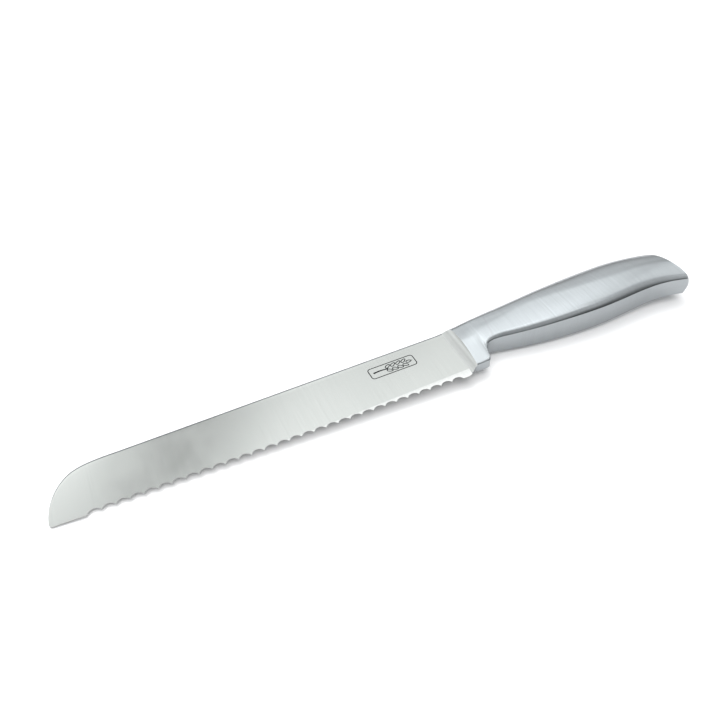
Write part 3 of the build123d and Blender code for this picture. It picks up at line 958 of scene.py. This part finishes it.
def past_end_wall(points, inset=0.0):
    return points[..., 0] - end_wall_x(points[..., 1], points[..., 2], inset)


# A half leaves out the rows on the centre plane, so its crease is one row earlier.
shell_rows = all_rows[1:-1]
SHELL_CREASE = CREASE - 1
shell_start = weld_end[shell_rows]
shell_end = bisect(
    lambda t: past_end_wall(surface(t, shell_rows)[0]),
    np.full(len(shell_rows), 100.0),
    np.full(len(shell_rows), LAST_STATION),
)
outer, outer_around = outer_columns(shell_rows, shell_start, shell_end, LENGTH_STEPS)
inner_start = inner_to_plane(shell_rows, WELD_LENGTH, SHEET)
inner_stop = np.array([
    bisect(lambda t: past_end_wall(inner(t, row, SHEET), SHEET), 90.0, LAST_STATION, 30)
    for row in shell_rows
])


def end_cap(edge, inset):
    """End wall grid: rows from the crease to the back, columns from the seam to the side."""
    columns = SHELL_CREASE + 1
    share = np.linspace(0, 1, columns)[None, :]
    y = edge[SHELL_CREASE:, 1][:, None] * np.ones((1, columns))
    z = SEAM + (edge[SHELL_CREASE:, 2][:, None] - SEAM) * share
    points = np.stack([end_wall_x(y, z, inset), y, z], -1)
    points[0] = edge[:columns]
    points[:, -1] = edge[SHELL_CREASE:]
    return points


def resample(columns, steps):
    """Columns at steps + 1 even places."""
    place = np.linspace(0, len(columns) - 1, steps + 1)
    i = np.clip(place.astype(int), 0, len(columns) - 2)
    weight = (place - i)[:, None, None]
    return columns[i] * (1 - weight) + columns[i + 1] * weight


inner_coarse = inner_columns(shell_rows, inner_start, inner_stop, INNER_STEPS, SHEET)
outer_cap, inner_cap = end_cap(outer[-1], 0.0), end_cap(inner_coarse[-1], SHEET)
inner_full = resample(inner_coarse, LENGTH_STEPS)


def handle_half(side, name, cad_piece):
    """One half: +1 is the left-hand side (+Z), -1 the right-hand side."""
    flip = np.array([1.0, 1.0, side])
    shape = Shape()
    wear = np.zeros(outer.shape[:2])
    wear[:, SHELL_CREASE] = 0.8
    wear[-1] = 1.0
    tags = np.zeros(outer.shape[:2], int)
    tags[-1] = 2
    out = shape.add(outer * flip, outer[..., 0], outer_around, wear, tags)
    ins = shape.add(inner_full * flip, inner_full[..., 0], outer_around)
    out_cap = shape.add(outer_cap * flip, outer_cap[..., 2], outer_cap[..., 1])
    in_cap = shape.add(inner_cap * flip, inner_cap[..., 2], inner_cap[..., 1])
    # Each cap shares its rim with the wall it closes.
    for cap_idx, wall_idx in ((out_cap, out), (in_cap, ins)):
        cap_idx[0, :] = wall_idx[-1, : SHELL_CREASE + 1]
        cap_idx[:, -1] = wall_idx[-1, SHELL_CREASE:]
    for grid in (out, ins, out_cap, in_cap):
        shape.quads(grid)
    shape.strip(out[:, 0], ins[:, 0])
    shape.strip(out[:, -1], ins[:, -1])
    shape.strip(out[0], ins[0])
    shape.strip(out_cap[:, 0], in_cap[:, 0])
    stand_in(shape.make(name, [handle_steel], angle=28), cad_piece)


handle_half(1.0, "handle_half_left", "handle_shell_left")
handle_half(-1.0, "handle_half_right", "handle_shell_right")


# ------------------------------------------------------------------ seam weld round the handle
# It runs along the underside, up the end wall and along the back, through the sheet's thickness.
def seam_path(columns, cap_points):
    return np.concatenate([columns[:, 0], cap_points[1:-1, 0], columns[::-1, -1]])


outer_path = seam_path(outer, outer_cap)
inner_path = seam_path(inner_full, inner_cap)
# Mid-line of the seam: flat on the underside, a little prouder over the end and the back.
middle_end = outer_cap[1:-1, 0].copy()
middle_end[:, 0] += BULGE * SEAM**2
back_stations = shell_start[-1] + (shell_end[-1] - shell_start[-1]) * np.linspace(
    0, 1, LENGTH_STEPS + 1
)
back_line, _ = surface(back_stations, np.full(LENGTH_STEPS + 1, all_rows[-1]))
middle_back = outer[::-1, -1].copy()
middle_back[:, 1] = np.interp(middle_back[:, 0], back_line[:, 0], back_line[:, 1])
middle_path = np.concatenate([outer[:, 0], middle_end, middle_back])
ring = []
for across in (-1.0, -0.5, 0.0, 0.5, 1.0):
    points = outer_path + (middle_path - outer_path) * (1 - across * across)
    points[:, 2] = SEAM * across
    ring.append(points)
for across in (1.0, 0.0, -1.0):
    points = inner_path.copy()
    points[:, 2] = SEAM * across
    ring.append(points)
ring = np.array(ring).transpose(1, 0, 2)
shape = Shape()
idx = shape.add(ring, path_lengths(outer_path)[:, None], ring[..., 2])
shape.quads(closed(idx))
shape.face(idx[0])
shape.face(idx[-1])
seam = shape.make("seam_weld_ground", [weld_steel], angle=30)
stand_in(seam, "seam_weld")

tang_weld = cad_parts["tang_weld"]
tang_weld.data.materials.clear()
tang_weld.data.materials.append(weld_steel)

# ------------------------------------------------------------------ etched mark on the left-hand face
MARK_X, MARK_Y, MARK_ANGLE = -33.6, 21.75, math.radians(0.8)
MARK_PROUD, MARK_SUNK = 0.006, 0.03
mark = Shape()


def rotated(points, angle, x, y):
    """Points turned by an angle, then moved to x, y."""
    c, s = math.cos(angle), math.sin(angle)
    px, py = points[:, 0], points[:, 1]
    return np.stack([x + c * px - s * py, y + s * px + c * py], 1)


def ribbon(points, width, looped=False):
    """A thin solid strip that follows a line in the mark's own plane."""
    points = np.asarray(points, float)
    if looped:
        direction = np.roll(points, -1, 0) - np.roll(points, 1, 0)
    else:
        direction = np.gradient(points, axis=0)
    direction /= np.maximum(np.hypot(direction[:, 0], direction[:, 1]), 1e-9)[:, None]
    normal = np.stack([-direction[:, 1], direction[:, 0]], 1)
    half = np.broadcast_to(np.asarray(width, float), (len(points),))[:, None] / 2
    a = rotated(points + normal * half, MARK_ANGLE, MARK_X, MARK_Y)
    b = rotated(points - normal * half, MARK_ANGLE, MARK_X, MARK_Y)

    def level(xy, rise):
        return np.stack([xy[:, 0], xy[:, 1], face_z(xy[:, 1]) + rise], 1)

    corners = [level(a, MARK_PROUD), level(b, MARK_PROUD), level(b, -MARK_SUNK)]
    ring = np.stack(corners + [level(a, -MARK_SUNK)], 1)
    idx = mark.add(ring, ring[..., 0], ring[..., 1])
    if looped:
        idx = np.concatenate([idx, idx[:1]], 0)
    mark.quads(closed(idx))
    if not looped:
        mark.face(idx[0])
        mark.face(idx[-1])


def rounded_box(width, height, radius, steps=8):
    points = []
    for sign_x, sign_y, first_angle in ((1, 1, 0), (-1, 1, 90), (-1, -1, 180), (1, -1, 270)):
        centre_x, centre_y = sign_x * (width / 2 - radius), sign_y * (height / 2 - radius)
        for k in range(steps + 1):
            a = math.radians(first_angle + 90 * k / steps)
            points.append((centre_x + radius * math.cos(a), centre_y + radius * math.sin(a)))
    return points


def grain(x, y, degrees, length=3.0, width=1.45):
    """Outline of one grain of the ear."""
    k = np.linspace(0, 2 * math.pi, 20, endpoint=False)
    egg = np.stack([length / 2 * np.cos(k), width / 2 * np.sin(k) * (1 - 0.25 * np.cos(k))], 1)
    ribbon(rotated(egg, math.radians(degrees), x, y), 0.48, True)


ribbon(rounded_box(width=24.6, height=7.0, radius=1.4), 0.50, True)
stalk = [(-10.4 + 0.5 * k, 0.30 * math.sin(k * 0.22)) for k in range(17)]
ribbon(stalk, np.linspace(0.95, 0.60, 17))
for k in range(4):
    for side in (1, -1):
        grain(-2.0 + 2.9 * k, 1.50 * side, 30 * side)
END_GRAIN_X, END_GRAIN_LENGTH, WHISKER = 9.0, 2.8, 0.6
grain(END_GRAIN_X, 0.0, 0, length=END_GRAIN_LENGTH, width=1.4)
whisker_x = np.linspace(END_GRAIN_LENGTH / 2, END_GRAIN_LENGTH / 2 + WHISKER, 4)
ribbon([(END_GRAIN_X + x, 0.0) for x in whisker_x], np.linspace(0.44, 0.30, 4))
mark_obj = mark.make("etched_mark", [etched], angle=30, merge=0.0001)
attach(mark_obj, "root")

# ------------------------------------------------------------------ floor, in metres
FLOOR_RADIUS, FLOOR_SIDES = 6.0, 64
FLOOR_GAP = 0.00003
BALANCE_X = 0.055  # the knife rests on the hull edge below this x


def resting_line():
    """x, z and slope of the line on which the knife rests, from its lower hull seen along Y."""
    points = []
    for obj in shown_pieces():
        coords = np.empty(len(obj.data.vertices) * 3, np.float32)
        obj.data.vertices.foreach_get("co", coords)
        points.append(coords.reshape(-1, 3)[:, [0, 2]].astype(float))
    points = np.concatenate(points)
    hull = []
    for x, z in points[np.lexsort((points[:, 1], points[:, 0]))]:
        while len(hull) >= 2:
            (ax, az), (bx, bz) = hull[-2:]
            if (bx - ax) * (z - az) - (bz - az) * (x - ax) > 0:
                break
            hull.pop()
        hull.append((x, z))
    for (ax, az), (bx, bz) in zip(hull, hull[1:]):
        if ax <= BALANCE_X <= bx:
            break
    return ax, az, (bz - az) / (bx - ax)


bpy.context.view_layer.update()
rest_x, rest_z, tilt = resting_line()
mesh = bpy.data.meshes.new("floor")
bm = bmesh.new()
rim = []
for k in range(FLOOR_SIDES):
    angle = 2 * math.pi * k / FLOOR_SIDES
    x, y = FLOOR_RADIUS * math.cos(angle), FLOOR_RADIUS * math.sin(angle)
    rim.append(bm.verts.new((x, y, rest_z + tilt * (x - rest_x) - FLOOR_GAP)))
bm.faces.new(rim)
bm.to_mesh(mesh)
bm.free()
floor = bpy.data.objects.new("floor", mesh)
bpy.context.scene.collection.objects.link(floor)


def floor_paper():
    """White paper, brighter to the camera than in the light it throws back on to the steel."""
    mat = bpy.data.materials.new("floor_white")
    mat.use_nodes = True
    tree = mat.node_tree
    bsdf = tree.nodes["Principled BSDF"]
    seen = tree.nodes.new("ShaderNodeLightPath").outputs["Is Camera Ray"]
    paper = tree.nodes.new("ShaderNodeMix")
    paper.data_type = "RGBA"
    # Sockets 6 and 7 are the two colours, output 2 the mixed one.
    paper.inputs[6].default_value = (0.56, 0.56, 0.565, 1)
    paper.inputs[7].default_value = (0.95, 0.95, 0.953, 1)
    tree.links.new(seen, paper.inputs[0])
    tree.links.new(paper.outputs[2], bsdf.inputs["Base Color"])
    bsdf.inputs["Roughness"].default_value = 0.85
    bsdf.inputs["Specular IOR Level"].default_value = 0.1
    return mat


mesh.materials.append(floor_paper())

# ------------------------------------------------------------------ world
scene = bpy.context.scene
scene.view_settings.view_transform = "Standard"
scene.view_settings.look = "None"
scene.view_settings.exposure = 0.0
scene.view_settings.gamma = 1.0

ROOM_LEVEL, ROOM_MINIMUM = 0.058, 0.02  # light between the panels, and the least anywhere
ROOM_TINT = (0.985, 1.0, 1.01)
BACKDROP = (0.97, 0.972, 0.975, 1)  # what the camera sees directly
# Soft round panels: azimuth from +X towards +Y, elevation, radius (all degrees), strength.
PANELS = [
    (-30, 4, 26, 0.08), (0, 4, 26, 0.33), (30, 4, 26, 0.36), (120, 4, 26, 0.45),
    (150, 4, 26, 0.66), (0, 24, 26, 0.40), (60, 24, 26, 0.68), (90, 24, 26, 0.26),
    (120, 24, 26, 0.68), (150, 24, 26, 0.75), (20, 45, 26, 0.29), (140, 45, 26, 0.26),
    (180, 45, 26, 0.13), (-15, 65, 26, 0.37), (65, 65, 26, 0.16), (105, 65, 26, 0.32),
    (160, 65, 26, 1.02),
    (122, 51, 11, 0.05), (113, 42, 11, 0.01), (113, 51, 11, 0.65), (104, 42, 11, 1.38),
    (95, 42, 11, 0.30), (77, 42, 11, 0.31), (77, 51, 11, 0.14), (68, 51, 11, 0.95),
    (50, 42, 11, 0.56), (50, 51, 11, 0.52), (22, 35, 11, 0.46), (36, 35, 11, 0.52),
    (50, 35, 11, 0.13), (36, 47, 11, 0.50), (8, 59, 11, 0.17), (22, 59, 11, 0.68),
    (36, 59, 11, 0.45), (50, 59, 11, 0.74), (-20, 52, 11, 0.22), (82, 62, 11, 1.27),
    (64, 34, 11, 0.20), (76, 53, 7, 0.12),
    # The camera's side of the room, towards -Y.
    (-112, 12, 60, 0.60), (-165, 28, 45, 0.30), (-122, 58, 30, 0.35), (-52, 10, 36, 0.60),
]


def heading(azimuth, elevation):
    """Unit vector from degrees."""
    a, e = math.radians(azimuth), math.radians(elevation)
    return (math.cos(a) * math.cos(e), math.sin(a) * math.cos(e), math.sin(e))


def panel(tree, direction, azimuth, elevation, radius, strength):
    dot = tree.nodes.new("ShaderNodeVectorMath")
    dot.operation = "DOT_PRODUCT"
    tree.links.new(direction, dot.inputs[0])
    dot.inputs[1].default_value = heading(azimuth, elevation)
    rim_cosine = math.cos(math.radians(radius))
    return ramp(tree, dot.outputs["Value"], rim_cosine, 1.0, 0.0, strength, smooth=True)


def build_world():
    world = bpy.data.worlds.new("studio")
    scene.world = world
    world.use_nodes = True
    tree = world.node_tree
    tree.nodes.clear()
    out = tree.nodes.new("ShaderNodeOutputWorld")
    direction = tree.nodes.new("ShaderNodeTexCoord").outputs["Generated"]
    level = maths(tree, "ADD", panel(tree, direction, *PANELS[0]), ROOM_LEVEL)
    for values in PANELS[1:]:
        level = maths(tree, "ADD", level, panel(tree, direction, *values))
    level = maths(tree, "MAXIMUM", level, ROOM_MINIMUM)
    room = tree.nodes.new("ShaderNodeBackground")
    tree.links.new(scaled_colour(tree, ROOM_TINT, level), room.inputs["Color"])
    backdrop = tree.nodes.new("ShaderNodeBackground")
    backdrop.inputs["Color"].default_value = BACKDROP
    path = tree.nodes.new("ShaderNodeLightPath")
    mix = tree.nodes.new("ShaderNodeMixShader")
    tree.links.new(path.outputs["Is Camera Ray"], mix.inputs[0])
    tree.links.new(room.outputs[0], mix.inputs[1])
    tree.links.new(backdrop.outputs[0], mix.inputs[2])
    tree.links.new(mix.outputs[0], out.inputs[0])


build_world()


# ------------------------------------------------------------------ lamps
def lamp(name, azimuth, elevation, spread, strength):
    """A broad, distant lamp that lights the floor evenly; the steel doesn't mirror it."""
    data = bpy.data.lights.new(name, "SUN")
    data.angle = math.radians(spread)
    data.energy = strength
    obj = bpy.data.objects.new(name, data)
    scene.collection.objects.link(obj)
    obj.rotation_mode = "QUATERNION"
    obj.rotation_quaternion = Vector(heading(azimuth, elevation)).to_track_quat("Z", "Y")
    obj.visible_glossy = False


lamp("lamp_back", azimuth=95, elevation=62, spread=37, strength=0.95)
lamp("lamp_top", azimuth=80, elevation=75, spread=75, strength=0.75)
lamp("lamp_front", azimuth=-80, elevation=60, spread=56, strength=1.15)

# ------------------------------------------------------------------ camera
CAMERA_X, CAMERA_Y, CAMERA_Z = -144.955, -199.03, 242.79
cam_data = bpy.data.cameras.new("camera")
cam = bpy.data.objects.new("camera", cam_data)
scene.collection.objects.link(cam)
scene.camera = cam
cam_data.sensor_width = 36.0
cam_data.lens = 35.0
cam_data.shift_y = 0.04444444
cam_data.clip_start, cam_data.clip_end = 0.01, 30.0
# The camera's own axes; "backward" points away from the view.
rightward = Vector((0.90776, -0.41840, -0.03011)).normalized()
backward = Vector((-0.26881, -0.63532, 0.72395)).normalized()
upward = backward.cross(rightward).normalized()
rightward = upward.cross(backward).normalized()
turn = Matrix((rightward, upward, backward)).transposed().to_4x4()
place = ((CAMERA_X + ORIGIN_X) * MM, (CAMERA_Y + ORIGIN_Y) * MM, CAMERA_Z * MM)
cam.matrix_world = Matrix.Translation(place) @ turn
